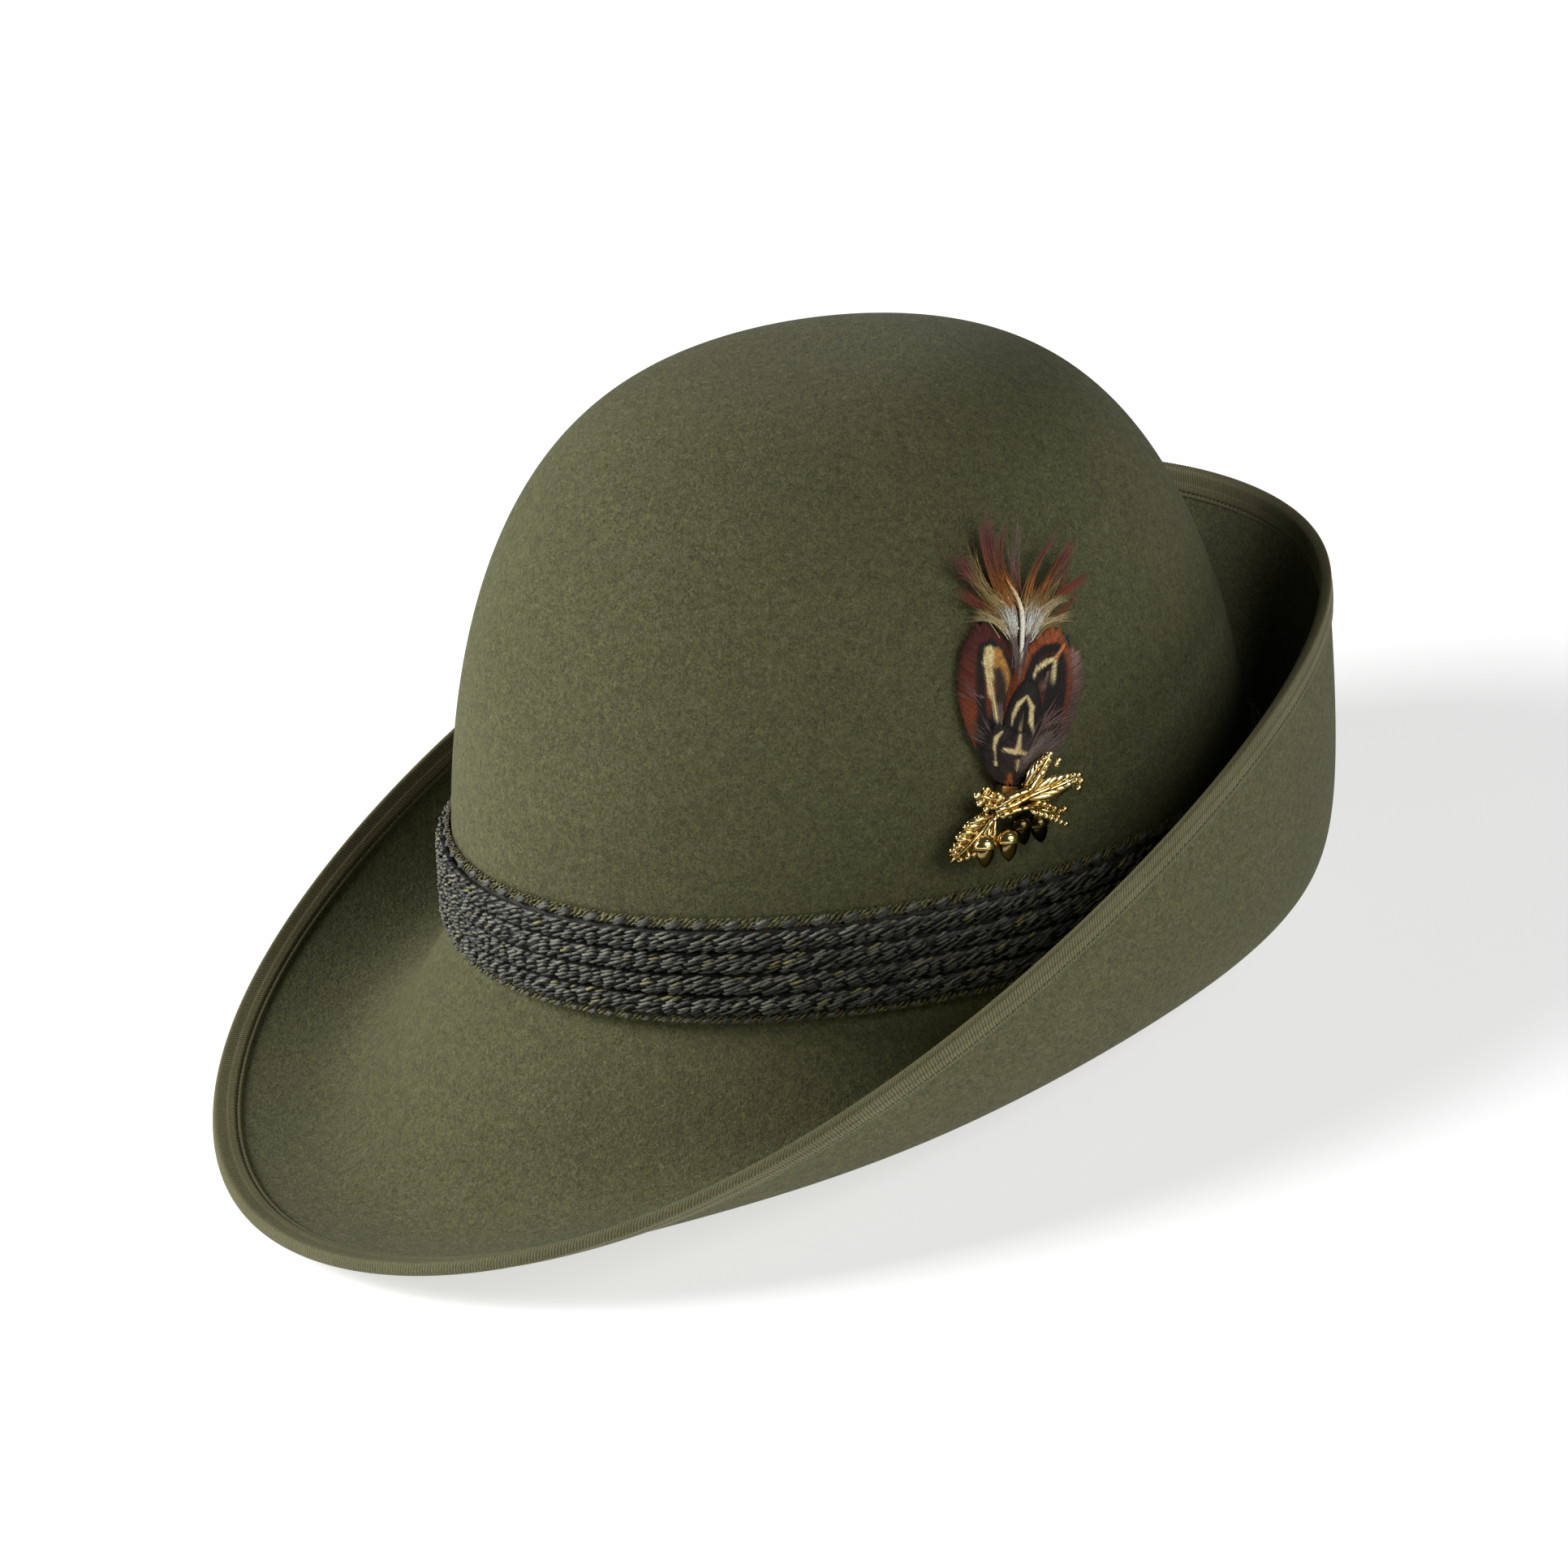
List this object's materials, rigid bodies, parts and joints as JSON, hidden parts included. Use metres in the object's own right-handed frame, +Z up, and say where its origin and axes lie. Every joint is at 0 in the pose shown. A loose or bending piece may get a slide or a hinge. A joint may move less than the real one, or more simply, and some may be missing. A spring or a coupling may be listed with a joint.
{
  "type": "alpine felt hat",
  "caption": "Round-crowned felt hat with a rolled brim that dips in front, braided cord band, and a feather plume held by a cast oak-leaf pin with a clutch.",
  "frame": {"origin": "bottom centre of the hat's box, on the surface that the brim rests on", "axes": "+Z up from the resting surface, -Y towards the front of the hat, +X towards the wearer's left, where the plume is"},
  "size_m": [0.2582, 0.3024, 0.1631],
  "materials": {
    "felt": "brushed wool felt",
    "binding_ribbon": "ribbed ribbon",
    "thread": "matte thread",
    "braid": "plaited yarn",
    "braid_edging": "looped yarn",
    "backing": "woven tape",
    "sweat_leather": "smooth leather",
    "reed": "piping",
    "light_thread": "waxed thread",
    "bow_ribbon": "satin ribbon",
    "lining_satin": "satin",
    "gold": "polished",
    "brass": "satin",
    "feather_chestnut": "barbed vane",
    "feather_dark": "barbed vane",
    "feather_hackle": "loose barbs"
  },
  "bodies": {
    "hat": {"felt_body": "felt", "brim_binding": "binding_ribbon", "binding_stitching": "thread", "band_cord_1": "braid", "band_cord_2": "braid", "band_cord_3": "braid", "band_cord_4": "braid", "band_top_edging": "braid_edging", "band_bottom_edging": "braid_edging", "band_backing": "backing", "band_keeper": "braid", "sweatband": "sweat_leather", "sweatband_reed": "reed", "sweatband_stitching": "light_thread", "sweatband_bow": "bow_ribbon", "lining_side": "lining_satin", "lining_tip": "lining_satin"},
    "ornament": {"oak_leaf_badge": "gold", "badge_post": "brass", "feather_socket": "brass", "feather_left": "feather_chestnut", "feather_right": "feather_chestnut", "feather_center": "feather_dark", "feather_base_left": "feather_dark", "feather_base_right": "feather_dark", "feather_back": "feather_chestnut", "feather_teal": "feather_dark", "hackle_left": "feather_hackle", "hackle_right": "feather_hackle"},
    "clutch": {"clutch_cap": "gold", "clutch_spring": "brass"}
  },
  "joints": [
    {"name": "pin_swivel", "type": "hinge", "parent": "hat", "child": "ornament", "pos_m": [0.08134, 0.02787, 0.07037], "axis": [0.9915, 0.0197, 0.1288], "range_deg": [-20, 20]},
    {"name": "clutch_pull", "type": "slide", "parent": "ornament", "child": "clutch", "axis": [-0.9915, -0.0197, -0.1288], "range_m": [0, 0.0075]}
  ]
}
